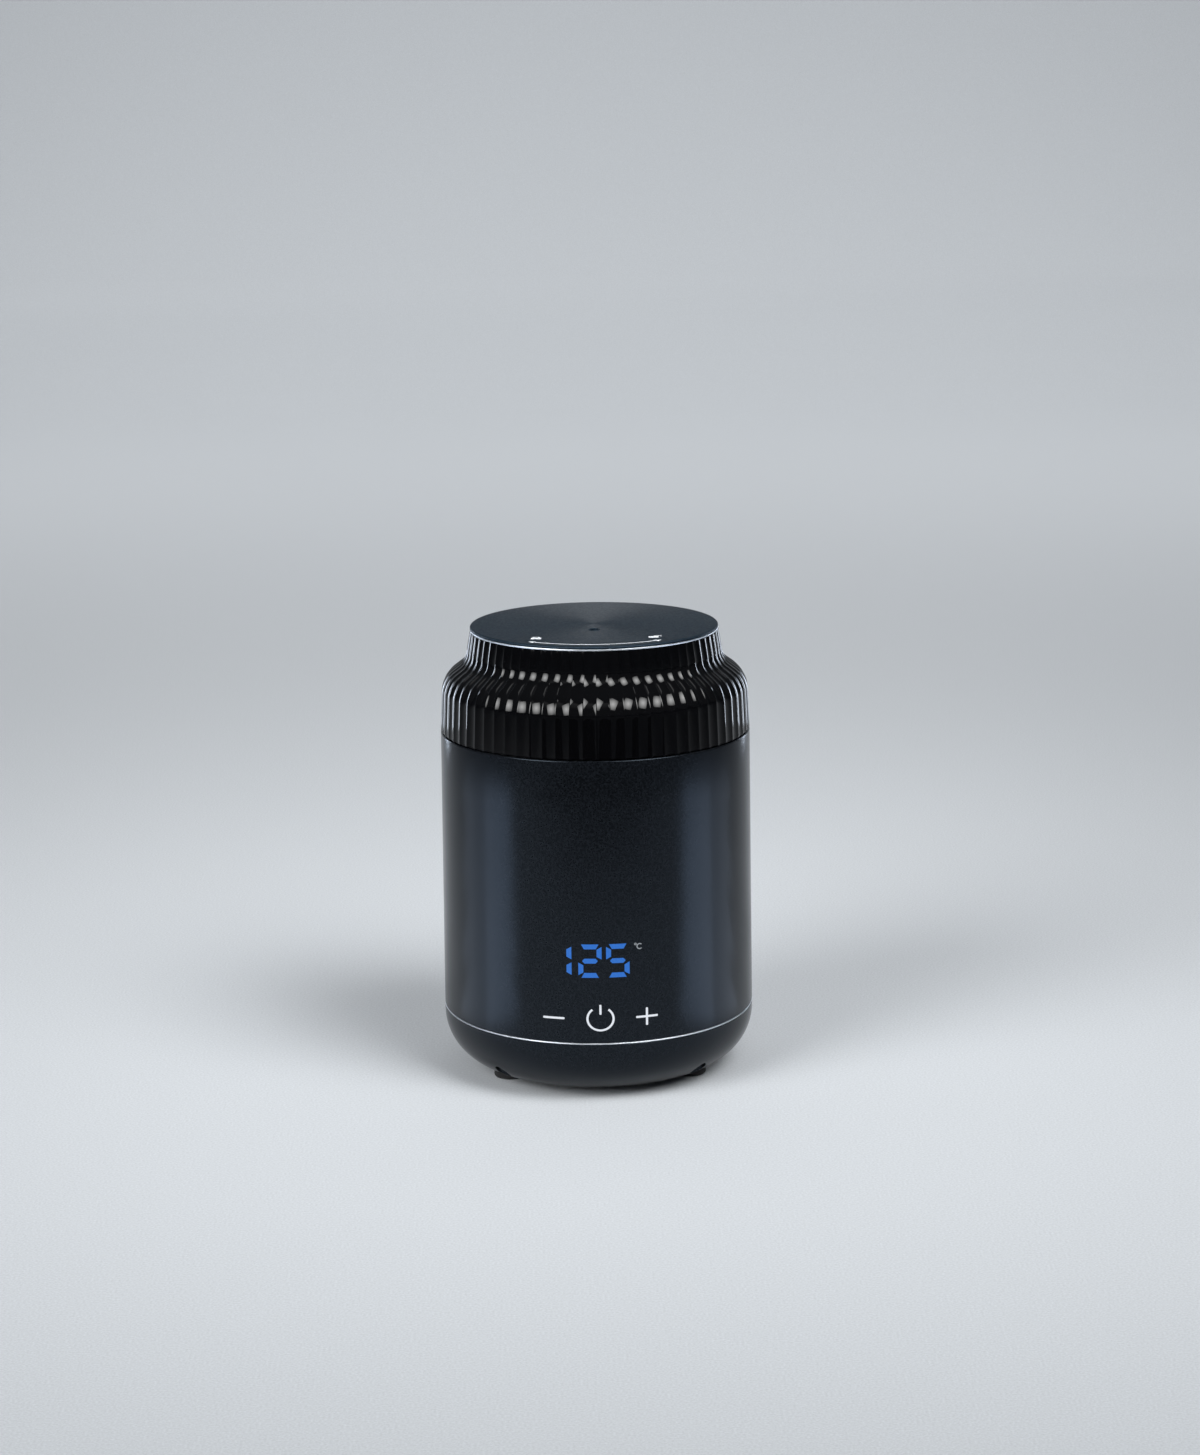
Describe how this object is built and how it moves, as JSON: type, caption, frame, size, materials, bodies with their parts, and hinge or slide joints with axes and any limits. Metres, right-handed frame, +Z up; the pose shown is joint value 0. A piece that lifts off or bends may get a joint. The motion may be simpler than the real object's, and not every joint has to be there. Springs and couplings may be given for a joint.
{
  "type": "wax heater",
  "caption": "Round table-top wax heater: satin body with lit digits and touch keys, lift-out metal pot in a heated well, fluted gloss twist lid and rubber feet.",
  "frame": {"origin": "on the table under the heater's axis, level with the undersides of the feet", "axes": "+Z up along the axis, -Y towards the display, +X to the viewer's right"},
  "size_m": [0.116, 0.116, 0.1676],
  "materials": {
    "lid_gloss": "polished, near black",
    "lid_plate": "satin slate grey",
    "shell_satin": "satin charcoal",
    "inner_plastic": "fine matt black",
    "bright_trim": "polished",
    "soft_black": "matt",
    "silicone": "smooth grey silicone",
    "pot_metal": "fine brushed",
    "steel": "bright zinc",
    "felt": "needled glass felt",
    "board_green": "solder-mask green",
    "component_black": "moulded",
    "relay_blue": "moulded",
    "terminal_green": "moulded",
    "can_metal": "sleeved can",
    "contact_brass": "plated",
    "lead_jacket": "heat-proof sleeve",
    "ribbon_grey": "flat cable"
  },
  "bodies": {
    "heater": {"housing": "shell_satin", "top_collar": "inner_plastic", "trim_ring": "bright_trim", "base_cover": "shell_satin", "feet": "soft_black", "base_screws": "steel", "heater_well": "pot_metal", "well_gasket": "silicone", "well_screws": "steel", "band_heater": "steel", "band_clamp_screw": "steel", "insulation_wrap": "felt", "thermistor": "can_metal", "thermal_fuse": "can_metal", "sensor_clips": "steel", "clip_screws": "steel", "heat_shield": "steel", "shield_standoffs": "contact_brass", "shield_nuts": "steel", "display_board": "board_green", "display_board_screws": "steel", "led_display": "component_black", "display_baffle": "component_black", "touch_plugs": "soft_black", "controller_chip": "component_black", "power_board": "board_green", "power_board_screws": "steel", "power_module": "component_black", "relay": "relay_blue", "capacitor": "can_metal", "terminal_block": "terminal_green", "mains_inlet": "component_black", "inlet_pins": "contact_brass", "mains_leads": "lead_jacket", "heater_leads": "lead_jacket", "sensor_lead": "lead_jacket", "ribbon_cable": "ribbon_grey"},
    "pot": {"wax_pot": "pot_metal", "pot_base": "pot_metal"},
    "liner": {"lid_liner": "inner_plastic", "lid_seal": "silicone"},
    "lid": {"lid_shell": "lid_gloss", "lid_top_plate": "lid_plate", "liner_retainer": "steel"}
  },
  "joints": [
    {"name": "pot_lift", "type": "slide", "parent": "heater", "child": "pot", "axis": [0, 0, 1], "range_m": [0, 0.07]},
    {"name": "lid_lift", "type": "slide", "parent": "pot", "child": "liner", "axis": [0, 0, 1], "range_m": [0, 0.09]},
    {"name": "lid_twist", "type": "hinge", "parent": "liner", "child": "lid", "pos_m": [0, 0, 0.14], "axis": [0, 0, 1], "range_deg": [-30, 0]}
  ]
}
